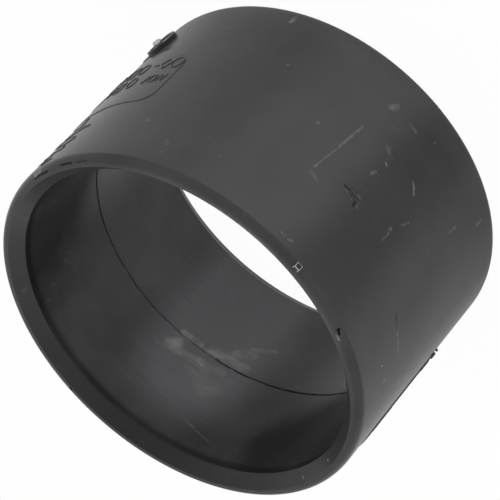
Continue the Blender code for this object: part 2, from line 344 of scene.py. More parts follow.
# Painted light on the outside wall: paler and darker bands stand in for brighter and darker reflections.
OUTSIDE_PAINTED_LIGHT = {
    "painted sheen left of the ridge": (-72.0, 2.0, -70.0, 33.5, 3.0, 8.0, 0.36),
    "painted light at the far end": (-30.0, 0.0, -110.0, 0.0, 0.5, 5.0, 0.30),
    "painted shade right of the ridge": (-99.0, 2.0, -99.0, 33.5, 1.6, 7.0, -0.24),
    "painted shade beside the back panel": (-152.0, 2.0, -152.0, 33.5, 1.0, 9.0, -0.45),
}
BORE_SCUFFS = {
    "rub below the line, start": (102.6, 20.2, 104.8, 19.2, 0.22, 1.00, 0.86),
    "rub below the line": (104.6, 20.2, 114.7, 19.7, 0.16, 0.85, 0.66),
    "rub below the line, tail": (114.7, 19.6, 122.4, 19.2, 0.10, 0.95, 0.34),
    "rub along the line": (103.9, 17.3, 111.1, 17.1, 0.14, 0.55, 1.00),
    "rub along the line, end": (111.1, 17.3, 117.5, 17.3, 0.05, 0.45, 0.60),
    "brushed rub": (115.0, 17.0, 127.6, 16.6, 0.22, 0.95, 0.55),
    "brushed rub, upper": (117.5, 16.6, 122.5, 15.6, 0.30, 1.00, 0.39),
    "spot above the rub": (122.5, 14.9, 126.8, 13.9, 0.28, 0.90, 0.48),
    "thin streak": (125.3, 12.9, 132.6, 11.6, 0.08, 0.40, 0.48),
    "streaks below the line": (114.0, 20.3, 122.5, 22.6, 0.40, 2.00, 0.22),
    "fine diagonal scratch": (121.3, 28.6, 135.2, 30.6, 0.03, 0.24, 0.10),
}
BORE_CUTS_AND_SHADE = {
    "grime in the core line": (12.0, 17.75, 180.0, 17.75, 0.02, 0.13, 0.62),
    "grime in the core line, end": (-180.0, 17.75, -160.0, 17.75, 0.02, 0.13, 0.62),
    "thicker grime": (118.0, 17.80, 158.0, 17.86, 0.03, 0.18, 0.34),
    # Painted shade: a dark band just inside the mouth of the bore, below the lead-in's inner corner.
    "painted shade below the lead-in": (20.0, 33.3, 180.0, 33.3, 0.05, 1.20, 0.58),
    "painted shade below the lead-in, end": (-180.0, 33.3, -150.0, 33.3, 0.05, 1.20, 0.58),
}
# Paler dust in the bore, laid on most where light falls into the bore and where the far socket mirrors the
# bright floor: partly real dust, partly painted light.
BORE_DUST_AND_PAINTED_LIGHT = {
    "dust and painted light along the bore": (102.0, 0.0, 102.0, 35.0, 8.0, 17.0, 0.33),
    "dust and painted light around the rubs": (114.0, 3.0, 114.0, 20.0, 4.0, 9.0, 0.62),
    "painted reflection in the far socket": (50.0, 2.0, 150.0, 2.0, 8.0, 15.0, 0.18),
}
RIM_CUTS = {
    "slit by the marks, first": (1.4, 26.45, -5.2, 26.52, 0.05, 0.13, 0.80),
    "slit by the marks, second": (-11.2, 26.60, -15.9, 26.64, 0.03, 0.12, 0.75),
    "slit by the marks, third": (-18.0, 26.64, -21.7, 26.60, 0.02, 0.11, 0.50),
    "nick in the rim": (89.2, 26.0, 90.2, 26.1, 0.07, 0.12, 0.9),
    "slit beyond the nib": (-110.0, 26.90, -111.6, 26.80, 0.06, 0.10, 0.9),
}
RIM_SCUFFS = {
    "pale edge beside the slit": (-111.4, 26.55, -113.2, 26.60, 0.05, 0.12, 0.40),
    "speck on the rim": (-166.0, 25.20, -166.4, 25.20, 0.06, 0.12, 0.40),
    "second speck on the rim": (179.5, 25.30, 179.2, 25.30, 0.05, 0.12, 0.35),
    "pale patch before the slits": (1.2, 26.84, -1.8, 26.92, 0.13, 0.26, 0.32),
    "pale run of the inner edge": (-62.0, 26.0, -84.0, 26.1, 0.05, 0.25, 0.12),
}
# The rim is painted paler towards the nib and darker on its low side.
RIM_SHADES = {
    "paler towards the nib": (-50.0, 25.9, -102.0, 25.9, 3.0, 6.0, 0.20),
    "darker on the low side": (-150.0, 25.9, -180.0, 25.9, 3.0, 9.0, -0.20),
    "darker on the low side, end": (180.0, 25.9, 118.0, 25.9, 3.0, 7.0, -0.20),
}


def make_stroke_group():
    """How strongly one stroke, rubbed, cut or of painted light and shade, covers a point.

    Way leads from the stroke's start to its end, and Share is Way over its own
    length squared, so that Share times a distance along it runs from 0 to 1.
    """
    tree = bpy.data.node_groups.new("stroke", "ShaderNodeTree")
    for label in ("Place", "From", "Way", "Share"):
        tree.interface.new_socket(name=label, in_out="INPUT", socket_type="NodeSocketVector")
    for label in ("Half Width", "Reach", "Strength"):
        tree.interface.new_socket(name=label, in_out="INPUT", socket_type="NodeSocketFloat")
    tree.interface.new_socket(name="Cover", in_out="OUTPUT", socket_type="NodeSocketFloat")
    given = add_node(tree, "NodeGroupInput").outputs

    def vector(operation, *values):
        return add_node(tree, "ShaderNodeVectorMath", dict(enumerate(values)), operation=operation).outputs

    from_start = vector("SUBTRACT", given["Place"], given["From"])[0]
    share = add_node(tree, "ShaderNodeClamp", {0: vector("DOT_PRODUCT", from_start, given["Share"])["Value"]})
    nearest = add_node(tree, "ShaderNodeVectorMath", {
        0: given["Way"], "Scale": share.outputs[0],
    }, operation="SCALE")
    away = vector("DISTANCE", from_start, nearest.outputs[0])["Value"]
    cover = add_node(tree, "ShaderNodeMapRange", {
        "Value": away, "From Min": given["Half Width"], "From Max": given["Reach"],
        "To Min": given["Strength"], "To Max": 0.0,
    }, interpolation_type="SMOOTHSTEP")
    add_node(tree, "NodeGroupOutput", {"Cover": cover.outputs[0]})
    return tree


stroke_group = make_stroke_group()


def unrolled_spot(degrees, second):
    """A place unrolled flat: round the wall, and up it or, on a rim, out from the axis."""
    return Vector((math.radians(degrees) * OUTER_RADIUS, 0.0, second * MILLI))


def marked(tree, place, marks):
    """How strongly a group of marks covers a point."""
    covered = []
    for start, first, end, last, half_width, softness, strength in marks.values():
        origin = unrolled_spot(start, first)
        way = unrolled_spot(end, last) - origin
        stroke = tree.nodes.new("ShaderNodeGroup")
        stroke.node_tree = stroke_group
        stroke.inputs["From"].default_value = origin
        stroke.inputs["Way"].default_value = way
        stroke.inputs["Share"].default_value = way / way.length_squared
        stroke.inputs["Half Width"].default_value = half_width * MILLI
        stroke.inputs["Reach"].default_value = (half_width + softness) * MILLI
        stroke.inputs["Strength"].default_value = strength
        tree.links.new(place, stroke.inputs["Place"])
        covered.append(stroke.outputs[0])
    return total(tree, *covered) if covered else 0.0


def noise(tree, vector, scale, low, high, detail=3.0, to=(0.0, 1.0)):
    """Noise over the part, stretched from one pair of levels to another."""
    grain = add_node(tree, "ShaderNodeTexNoise", {"Vector": vector, "Scale": scale, "Detail": detail})
    return add_node(tree, "ShaderNodeMapRange", {
        "Value": grain.outputs["Fac"], "From Min": low, "From Max": high, "To Min": to[0], "To Max": to[1],
    }).outputs[0]


def make_black_abs(
    name, dullness, scuffs={}, cuts_and_shade={}, shades={},
    dull_and_lit_colour=DULL_AND_LIT_COLOUR, scuff_colour=SCUFF_COLOUR, rim=False, streaked=False,
):
    """Black ABS with a satin moulded skin, dull in clouds, rubbed pale and nicked here and there, with
    painted light and shade in its colour.
    """
    material = bpy.data.materials.new(name)
    material.use_nodes = True
    tree = material.node_tree
    shader = tree.nodes["Principled BSDF"]
    part_place = add_node(tree, "ShaderNodeTexCoord").outputs["Object"]
    part = add_node(tree, "ShaderNodeSeparateXYZ", {0: part_place}).outputs
    round_wall = calculate(tree, "MULTIPLY", calculate(tree, "ARCTAN2", part["Y"], part["X"]), OUTER_RADIUS)
    second = part["Z"]
    if rim:
        flat_place = add_node(tree, "ShaderNodeCombineXYZ", {"X": part["X"], "Y": part["Y"]}).outputs[0]
        second = add_node(tree, "ShaderNodeVectorMath", {0: flat_place}, operation="LENGTH").outputs["Value"]
    unrolled = add_node(tree, "ShaderNodeCombineXYZ", {"X": round_wall, "Z": second}).outputs[0]

    # Rubbed edges wander by about a tenth of a millimetre.
    wander = noise(tree, part_place, 1500.0, 0.0, 1.0, 1.0, (-MARK_WANDER, MARK_WANDER))
    place = add_node(tree, "ShaderNodeCombineXYZ", {
        "X": calculate(tree, "ADD", round_wall, wander), "Z": calculate(tree, "ADD", second, wander),
    }).outputs[0]

    cloudy = noise(tree, part_place, 110.0, 0.30, 0.70, 4.0)
    # Cloudy dullness of the skin plus the painted light and shade of the shade strokes, mixed towards the
    # pale colour.
    dullness_and_painted_light = total(
        tree, marked(tree, unrolled, shades),
        calculate(tree, "MULTIPLY_ADD", cloudy, 0.20, dullness - 0.10),
    )
    rubbed = marked(tree, place, scuffs)
    # The cut mask holds the real cuts and also the painted shade strokes.
    cut = marked(tree, place, cuts_and_shade)
    if streaked:
        # The pipes dragged fine slanting streaks through the rubbed places of the bore.
        slanting = add_node(tree, "ShaderNodeMapping", {
            "Vector": unrolled, "Rotation": (0.0, STREAK_SLANT, 0.0), "Scale": STREAK_STRETCH,
        }).outputs[0]
        streaks = noise(tree, slanting, 1.0, 0.40, 0.66, 3.0, (0.45, 1.50))
        rubbed = calculate(tree, "MULTIPLY", rubbed, streaks)
        patchy = noise(tree, part_place, 700.0, 0.35, 0.68, 2.0, (0.45, 1.45))
        rubbed = calculate(tree, "MULTIPLY", rubbed, patchy)
        brushed = noise(tree, slanting, 0.6, 0.25, 0.75, 2.0, (0.88, 1.12))
        dullness_and_painted_light = calculate(tree, "MULTIPLY", dullness_and_painted_light, brushed)
    else:
        patchy = noise(tree, part_place, 1500.0, 0.36, 0.6, 3.0, (0.15, 1.3))
        rubbed = calculate(tree, "MULTIPLY", rubbed, patchy)
    spots = noise(tree, part_place, 420.0, 0.70, 0.80, 2.0, (0.0, 0.06))
    dullness_and_painted_light = add_node(tree, "ShaderNodeClamp", {0: dullness_and_painted_light}).outputs[0]
    rubbed = add_node(tree, "ShaderNodeClamp", {0: calculate(tree, "ADD", rubbed, spots)}).outputs[0]
    cut = add_node(tree, "ShaderNodeClamp", {0: cut}).outputs[0]

    skin = add_node(tree, "ShaderNodeMix", {0: dullness_and_painted_light, 6: CLEAN_COLOUR, 7: dull_and_lit_colour}, data_type="RGBA")
    pale = add_node(tree, "ShaderNodeMix", {0: rubbed, 6: skin.outputs[2], 7: scuff_colour}, data_type="RGBA")
    dark = add_node(tree, "ShaderNodeMix", {0: cut, 6: pale.outputs[2], 7: CUT_AND_SHADE_COLOUR}, data_type="RGBA")
    tree.links.new(dark.outputs[2], shader.inputs["Base Color"])
    roughness = total(
        tree, calculate(tree, "MULTIPLY_ADD", cloudy, 0.06, ABS_ROUGHNESS - 0.03),
        calculate(tree, "MULTIPLY", rubbed, 0.5), calculate(tree, "MULTIPLY", cut, 0.3),
    )
    tree.links.new(roughness, shader.inputs["Roughness"])
    gloss = calculate(tree, "MULTIPLY", calculate(tree, "SUBTRACT", 1.0, cut), ABS_GLOSS)
    tree.links.new(gloss, shader.inputs["Specular IOR Level"])

    fine_grain = add_node(tree, "ShaderNodeTexNoise", {"Vector": part_place, "Scale": 2600.0, "Detail": 2.0})
    height = calculate(tree, "MULTIPLY", fine_grain.outputs["Fac"], GRAIN_HEIGHT)
    if cuts_and_shade:
        height = calculate(tree, "MULTIPLY_ADD", cut, -CUT_DEPTH, height)
    bump = add_node(tree, "ShaderNodeBump", {"Height": height, "Strength": 1.0, "Distance": 1.0})
    tree.links.new(bump.outputs["Normal"], shader.inputs["Normal"])
    return material


black_abs = make_black_abs("black_abs", DULLNESS["outside"])
wall_materials = {
    "outside": make_black_abs(
        "black_abs_outside", DULLNESS["outside"], OUTSIDE_SCUFFS, OUTSIDE_CUTS_AND_SHADE, OUTSIDE_PAINTED_LIGHT,
    ),
    "rim": make_black_abs("black_abs_rim", DULLNESS["rim"], RIM_SCUFFS, RIM_CUTS, RIM_SHADES, rim=True),
    "bore": make_black_abs(
        "black_abs_bore", DULLNESS["bore"], BORE_SCUFFS, BORE_CUTS_AND_SHADE, BORE_DUST_AND_PAINTED_LIGHT,
        DUST_AND_LIGHT_COLOUR, RUB_COLOUR, streaked=True,
    ),
}
columns = wall_columns()
coupling_wall = make_shape("coupling_wall", make_wall_tree(), chain_mesh("columns", columns), {
    "Columns": len(columns), "Middle Radius": MIDDLE_RADIUS, "Socket Depth": SOCKET_DEPTH,
    "Socket Taper": SOCKET_TAPER, "Lead-in Width": LEAD_IN_WIDTH, "Lead-in Depth": LEAD_IN_DEPTH,
    "Rim Flat": RIM_FLAT, "Edge Radius": EDGE_RADIUS, "Edge Height": EDGE_HEIGHT,
    "Core Line Width": CORE_LINE_WIDTH, "Core Line Height": CORE_LINE_HEIGHT,
    "Ridge Height": PARTING_RIDGE_HEIGHT,
    "Material": wall_materials["outside"],
})
coupling_wall.data.materials.clear()
for material in wall_materials.values():
    coupling_wall.data.materials.append(material)
in_order = list(wall_materials)
for face in coupling_wall.data.polygons:
    from_axis = math.hypot(face.center.x, face.center.y)
    if from_axis < BORE_LIMIT:
        face.material_index = in_order.index("bore")
    elif face.center.z > RIM_LIMIT or from_axis < LEAD_IN_LIMIT:
        face.material_index = in_order.index("rim")
    else:
        face.material_index = in_order.index("outside")
close_and_shade(coupling_wall, 30)
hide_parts("coupling_body")
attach(coupling_wall, "root")

# The gate is where the plastic came in: a low round pad, dished on top, with the
# stub of the runner that was twisted off. The stub broke with a pale torn face.
GATE_FROM_END = 0.00630
GATE_FROM_MIDDLE = -0.00040  # round the wall from +X
GATE_SIDE = GATE_FROM_MIDDLE / OUTER_RADIUS
PAD_RADIUS = 0.00230
PAD_HEIGHT = 0.00058
PAD_FOOT = 0.00004  # how far the pad widens where it meets the wall
PAD_ROUNDING = 0.00008
DISH_RADIUS = 0.00185
DISH_DEPTH = 0.00018
PAD_ROOT = 0.00030
STEPS_ROUND_PAD = 96
STUB_RADIUS = 0.00062
STUB_HEIGHT = 0.00093  # of the middle of its torn face, above the wall
STUB_OFF_CENTRE = 0.00025  # both round the wall and up it
STUB_SLANT_ROUND = 0.30
STUB_SLANT_UP = -0.17
STEPS_ROUND_STUB = 40


def on_wall(along, up, out, side=0.0, height=0.0):
    """A point over the wall, from its distances along the wall, up it and out of it."""
    angle = side + along / OUTER_RADIUS
    reach = OUTER_RADIUS + out
    return (reach * math.cos(angle), reach * math.sin(angle), height + up)


def make_turned_patch(name, profile, steps, side, height, centre_out):
    """A round form on the wall, from a profile of radii and heights and a closed middle."""
    maker = bmesh.new()
    rings = []
    for radius, out in profile:
        ring = []
        for n in range(steps):
            angle = 2 * math.pi * n / steps
            place = on_wall(radius * math.cos(angle), radius * math.sin(angle), out, side, height)
            ring.append(maker.verts.new(place))
        rings.append(ring)
    for outer, inner in zip(rings, rings[1:]):
        for n in range(steps):
            after = (n + 1) % steps
            maker.faces.new((outer[n], outer[after], inner[after], inner[n]))
    middle = maker.verts.new(on_wall(0.0, 0.0, centre_out, side, height))
    for n in range(steps):
        maker.faces.new((rings[-1][n], rings[-1][(n + 1) % steps], middle))
    maker.faces.new(rings[0])
    mesh = bpy.data.meshes.new(name)
    maker.to_mesh(mesh)
    maker.free()
    piece = bpy.data.objects.new(name, mesh)
    bpy.context.scene.collection.objects.link(piece)
    return piece


def finish_piece(piece, material, sharp_angle):
    """Material, shading, and the piece's place in the part."""
    if not piece.data.materials:
        piece.data.materials.append(material)
    close_and_shade(piece, sharp_angle)
    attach(piece, "root")


pad_profile = [(PAD_RADIUS + PAD_FOOT, -PAD_ROOT), (PAD_RADIUS + PAD_FOOT, 0.0)]
for step in range(5):
    angle = math.pi / 2 * step / 4
    pad_profile.append((
        PAD_RADIUS - PAD_ROUNDING * (1 - math.cos(angle)),
        PAD_HEIGHT - PAD_ROUNDING * (1 - math.sin(angle)),
    ))
pad_profile += [
    (DISH_RADIUS + 0.00008, PAD_HEIGHT),
    (DISH_RADIUS + 0.00003, PAD_HEIGHT - 0.00003),
    (DISH_RADIUS - 0.00004, PAD_HEIGHT - DISH_DEPTH + 0.00003),
    (DISH_RADIUS - 0.00012, PAD_HEIGHT - DISH_DEPTH),
    (DISH_RADIUS * 0.66, PAD_HEIGHT - DISH_DEPTH),
    (DISH_RADIUS * 0.36, PAD_HEIGHT - DISH_DEPTH),
]
gate_pad = make_turned_patch(
    "gate_pad", pad_profile, STEPS_ROUND_PAD, GATE_SIDE, GATE_FROM_END, PAD_HEIGHT - DISH_DEPTH,
)
clean_abs = make_black_abs("black_abs_gate", 0.0)
finish_piece(gate_pad, clean_abs, 40)

# The stub's root spilled over the near edge of the pad, and a thin flash left the far edge.
ROOT_FROM_MIDDLE = -0.00120
ROOT_FROM_END = 0.00735
ROOT_HEIGHT = 0.00075
ROOT_PROFILE = [
    (0.00084, -0.00030), (0.00084, 0.0), (0.00080, 0.00030), (0.00072, 0.00052),
    (0.00058, 0.00066), (0.00036, 0.00073), (0.00016, ROOT_HEIGHT),
]
FLASH_FROM_MIDDLE = 0.00175
FLASH_FROM_END = 0.00800
FLASH_HEIGHT = 0.00016
FLASH_PROFILE = [
    (0.00095, -0.00030), (0.00095, 0.0), (0.00080, 0.00007), (0.00060, 0.00012),
    (0.00036, 0.00015), (0.00016, FLASH_HEIGHT),
]
STEPS_ROUND_SPILL = 40
gate_root = make_turned_patch(
    "gate_root", ROOT_PROFILE, STEPS_ROUND_SPILL, ROOT_FROM_MIDDLE / OUTER_RADIUS, ROOT_FROM_END, ROOT_HEIGHT,
)
finish_piece(gate_root, clean_abs, 60)
gate_flash = make_turned_patch(
    "gate_flash", FLASH_PROFILE, STEPS_ROUND_SPILL, FLASH_FROM_MIDDLE / OUTER_RADIUS, FLASH_FROM_END,
    FLASH_HEIGHT,
)
finish_piece(gate_flash, clean_abs, 60)

TORN_COLOUR = (0.60, 0.57, 0.58, 1.0)


def make_bare_abs(name, colour, roughness):
    """Bare ABS without its moulded skin, where it tore or was rubbed through."""
    material = bpy.data.materials.new(name)
    material.use_nodes = True
    shader = material.node_tree.nodes["Principled BSDF"]
    shader.inputs["Base Color"].default_value = colour
    shader.inputs["Roughness"].default_value = roughness
    return material


torn_abs = make_bare_abs("torn_abs", TORN_COLOUR, 0.7)

# Share of the stub's radius and of its height, from the foot to the torn face.
STUB_SHAPE = [
    (1.60, -0.20), (1.50, 0.42), (1.16, 0.52), (1.00, 0.62), (0.95, 0.70), (0.97, 0.82),
    (1.00, 0.92), (0.97, 0.98), (0.88, 1.0), (0.72, 1.0), (0.52, 1.0), (0.30, 1.0),
]
TORN_FROM = 6  # the ring where the torn face starts


def make_stub():
    """The broken stub: a flared foot, an uneven neck and a slanted torn face."""
    maker = bmesh.new()
    rings = []
    for share, level in STUB_SHAPE:
        ring = []
        for n in range(STEPS_ROUND_STUB):
            angle = 2 * math.pi * n / STEPS_ROUND_STUB
            uneven = 1 + 0.05 * math.sin(3 * angle + 1.1) + 0.025 * math.sin(7 * angle + 4 * level)
            across = STUB_RADIUS * share * uneven * math.cos(angle)
            up = STUB_RADIUS * share * uneven * math.sin(angle)
            torn = 0.00002 * math.sin(5 * angle + 9 * share) + 0.00001 * math.sin(11 * angle + 3 * share)
            slant = STUB_SLANT_ROUND * across + STUB_SLANT_UP * up
            out = STUB_HEIGHT * level + max(0.0, level) * slant + max(0.0, 10 * level - 9) * torn
            ring.append(maker.verts.new(on_wall(
                STUB_OFF_CENTRE + across, STUB_OFF_CENTRE + up, out, GATE_SIDE, GATE_FROM_END)))
        rings.append(ring)
    for low, high in zip(rings, rings[1:]):
        for n in range(STEPS_ROUND_STUB):
            after = (n + 1) % STEPS_ROUND_STUB
            face = maker.faces.new((low[n], low[after], high[after], high[n]))
            face.material_index = 1 if rings.index(low) >= TORN_FROM else 0
    cap = maker.faces.new(rings[-1])
    cap.material_index = 1
    maker.faces.new(rings[0])
    mesh = bpy.data.meshes.new("gate_stub")
    maker.to_mesh(mesh)
    maker.free()
    mesh.materials.append(clean_abs)
    mesh.materials.append(torn_abs)
    piece = bpy.data.objects.new("gate_stub", mesh)
    bpy.context.scene.collection.objects.link(piece)
    return piece


gate_stub = make_stub()
finish_piece(gate_stub, clean_abs, 40)

# Two shallow raised panels were cut into the mould, one for each half. Each is a
# rounded rectangle that follows the wall, with a narrow sloping border.
PANELS = {
    "gate_panel": {
        "Width": 0.02290, "Length": 0.01030, "Corner": 0.00220, "Height": 0.00010,
        "Side": 0.0, "Middle Height": SOCKET_DEPTH,
    },
    "back_panel": {
        "Width": 0.01770, "Length": 0.01820, "Corner": 0.00250, "Height": 0.00017,
        "Side": math.pi, "Middle Height": SOCKET_DEPTH + 0.00235,
    },
}
PANEL_BORDER = 0.00009
PANEL_ROOT = 0.00020
PANEL_STEPS_ACROSS = 72
PANEL_STEPS_ALONG = 48


def make_panel_tree():
    """A rounded rectangle wrapped round the wall, its border sloping down into it."""
    tree, given = new_shape_tree("raised_panel", {
        "Width": "Float", "Length": "Float", "Corner": "Float", "Height": "Float",
        "Side": "Float", "Middle Height": "Float", "Border": "Float", "Root": "Float",
        "Wall Radius": "Float", "Steps Across": "Int", "Steps Along": "Int", "Material": "Material",
    })
    sheet = add_node(tree, "GeometryNodeMeshGrid", {
        "Size X": calculate(tree, "ADD", given["Steps Across"], 4.0),
        "Size Y": calculate(tree, "ADD", given["Steps Along"], 4.0),
        "Vertices X": calculate(tree, "ADD", given["Steps Across"], 5.0),
        "Vertices Y": calculate(tree, "ADD", given["Steps Along"], 5.0),
    })
    place = add_node(tree, "GeometryNodeInputPosition").outputs[0]
    part = add_node(tree, "ShaderNodeSeparateXYZ", {0: place})

    def share_and_ring(value, steps):
        half_steps = calculate(tree, "MULTIPLY", steps, 0.5)
        ring = calculate(tree, "SUBTRACT", calculate(tree, "ABSOLUTE", value), half_steps)
        share = calculate(tree, "DIVIDE", value, half_steps)
        inside = calculate(tree, "MINIMUM", calculate(tree, "MAXIMUM", share, -1.0), 1.0)
        return inside, calculate(tree, "MAXIMUM", ring, 0.0)

    across, ring_across = share_and_ring(part.outputs["X"], given["Steps Across"])
    along, ring_along = share_and_ring(part.outputs["Y"], given["Steps Along"])
    ring = calculate(tree, "MAXIMUM", ring_across, ring_along)
    on_top = calculate(tree, "SUBTRACT", 1.0, calculate(tree, "MINIMUM", ring, 1.0))
    sunk = calculate(tree, "MAXIMUM", calculate(tree, "SUBTRACT", ring, 1.0), 0.0)
    inset = calculate(tree, "MULTIPLY", given["Border"], on_top)
    out = calculate(tree, "SUBTRACT", calculate(tree, "MULTIPLY", given["Height"], on_top),
                    calculate(tree, "MULTIPLY", given["Root"], sunk))
    half_length = calculate(tree, "MULTIPLY", given["Length"], 0.5)
    half_width = calculate(tree, "MULTIPLY", given["Width"], 0.5)
    corner = calculate(tree, "SUBTRACT", given["Corner"], inset)
    up = calculate(tree, "MULTIPLY", calculate(tree, "SUBTRACT", half_length, inset),
                   calculate(tree, "SINE", calculate(tree, "MULTIPLY", along, math.pi / 2)))
    into_corner = calculate(tree, "MAXIMUM", 0.0, calculate(
        tree, "SUBTRACT", calculate(tree, "ABSOLUTE", up),
        calculate(tree, "SUBTRACT", half_length, given["Corner"]),
    ))
    room = calculate(tree, "SUBTRACT", calculate(tree, "POWER", corner, 2.0),
                     calculate(tree, "POWER", into_corner, 2.0))
    reach = calculate(tree, "ADD", calculate(tree, "SUBTRACT", half_width, given["Corner"]),
                      calculate(tree, "SQRT", calculate(tree, "MAXIMUM", room, 0.0)))
    angle = calculate(tree, "ADD", given["Side"], calculate(
        tree, "DIVIDE", calculate(tree, "MULTIPLY", across, reach), given["Wall Radius"]))
    radius = calculate(tree, "ADD", given["Wall Radius"], out)
    wrapped = add_node(tree, "ShaderNodeCombineXYZ", {
        "X": calculate(tree, "MULTIPLY", radius, calculate(tree, "COSINE", angle)),
        "Y": calculate(tree, "MULTIPLY", radius, calculate(tree, "SINE", angle)),
        "Z": calculate(tree, "ADD", given["Middle Height"], up),
    })
    panel = add_node(tree, "GeometryNodeSetPosition", {
        "Geometry": sheet.outputs[0], "Position": wrapped.outputs[0],
    })
    joined = add_node(tree, "GeometryNodeMergeByDistance", {"Geometry": panel.outputs[0], "Distance": 1e-6})
    end_shape_tree(tree, joined.outputs[0], given["Material"])
    return tree


def close_back(piece):
    """Close the open back of a wrapped form, inside the wall."""
    maker = bmesh.new()
    maker.from_mesh(piece.data)
    bmesh.ops.holes_fill(maker, edges=[edge for edge in maker.edges if edge.is_boundary])
    maker.to_mesh(piece.data)
    maker.free()


panel_tree = make_panel_tree()
for name, sizes in PANELS.items():
    panel = make_shape(name, panel_tree, chain_mesh("start", [(0, 0, 0)]), {
        **sizes, "Border": PANEL_BORDER, "Root": PANEL_ROOT, "Wall Radius": OUTER_RADIUS,
        "Steps Across": PANEL_STEPS_ACROSS, "Steps Along": PANEL_STEPS_ALONG, "Material": black_abs,
    })
    close_back(panel)
    finish_piece(panel, black_abs, 25)

# Plain raised marks stand in rows on both panels and beside the upper rim. Each
# is a low rib that the mould's engraver cut as one stroke. Five broader bars, a dot
# and a round pip stand near the lower end of the back panel.
MARK_ROOT = 0.00012
STROKE_STEP = 0.00025
PIP_RADIUS = 0.00050
PIP_HEIGHT = 0.00033
PIP_ROUNDING = 0.00010
PIP_FROM_MIDDLE = 0.00825  # round the wall from -X, on the side of the parting ridge
PIP_UP = 0.01220
STEPS_ROUND_PIP = 40


def shape_lines(kind, middle, base, width, height):
    """Strokes of one plain shape, as chains of points along the wall and up it."""
    def at(across, up):
        return (middle + across * width / 2, base + (up + 1) * height / 2, 0.0)

    if kind == "ring":
        return [[at(math.cos(2 * math.pi * n / 24), math.sin(2 * math.pi * n / 24)) for n in range(25)]]
    if kind == "bar":
        return [[at(0, -1), at(0, 1)]]
    if kind == "dash":
        return [[at(-1, 0), at(1, 0)]]
    if kind == "slash":
        return [[at(-1, -1), at(1, 1)]]
    if kind == "diamond":
        return [[at(0, -1), at(1, 0), at(0, 1), at(-1, 0), at(0, -1)]]
    if kind == "box":
        return [[at(-1, -1), at(1, -1), at(1, 1), at(-1, 1), at(-1, -1)]]
    if kind == "arrow":
        return [[at(1, -1), at(-1, 0), at(1, 1)]]
    if kind == "zigzag":
        return [[at(-1, -1), at(-0.33, 1), at(0.33, -1), at(1, 1)]]
    if kind == "steps":
        return [[at(-1, -1), at(-1, 0), at(0, 0), at(0, 1), at(1, 1)]]
    return []


def make_marks_tree():
    """Sweep a low rib along each stroke, then wrap the strokes round the wall."""
    tree, given = new_shape_tree("raised_marks", {
        "Stroke Width": "Float", "Crest Share": "Float", "Crest": "Float", "Root": "Float",
        "Wall Radius": "Float", "Side": "Float", "Material": "Material",
    })
    strokes = add_node(tree, "GeometryNodeMeshToCurve", {"Mesh": given["Geometry"]})
    even = add_node(tree, "GeometryNodeResampleCurve", {
        "Curve": strokes.outputs[0], "Length": STROKE_STEP,
    }, mode="LENGTH")
    depth = calculate(tree, "ADD", given["Crest"], given["Root"])
    section = add_node(tree, "GeometryNodeCurvePrimitiveQuadrilateral", {
        "Bottom Width": calculate(tree, "MULTIPLY", given["Stroke Width"], given["Crest Share"]),
        "Top Width": given["Stroke Width"], "Offset": 0.0, "Height": depth,
    }, mode="TRAPEZOID")
    ribs = add_node(tree, "GeometryNodeCurveToMesh", {
        "Curve": even.outputs[0], "Profile Curve": section.outputs[0], "Fill Caps": True,
    })
    place = add_node(tree, "GeometryNodeInputPosition").outputs[0]
    part = add_node(tree, "ShaderNodeSeparateXYZ", {0: place})
    middle_out = calculate(tree, "SUBTRACT", given["Crest"], calculate(tree, "MULTIPLY", depth, 0.5))
    out = calculate(tree, "ADD", middle_out, part.outputs["Z"])
    radius = calculate(tree, "ADD", given["Wall Radius"], out)
    round_wall = calculate(tree, "DIVIDE", part.outputs["X"], given["Wall Radius"])
    angle = calculate(tree, "ADD", given["Side"], round_wall)
    wrapped = add_node(tree, "ShaderNodeCombineXYZ", {
        "X": calculate(tree, "MULTIPLY", radius, calculate(tree, "COSINE", angle)),
        "Y": calculate(tree, "MULTIPLY", radius, calculate(tree, "SINE", angle)),
        "Z": part.outputs["Y"],
    })
    bent = add_node(tree, "GeometryNodeSetPosition", {
        "Geometry": ribs.outputs[0], "Position": wrapped.outputs[0],
    })
    end_shape_tree(tree, bent.outputs[0], given["Material"])
    return tree


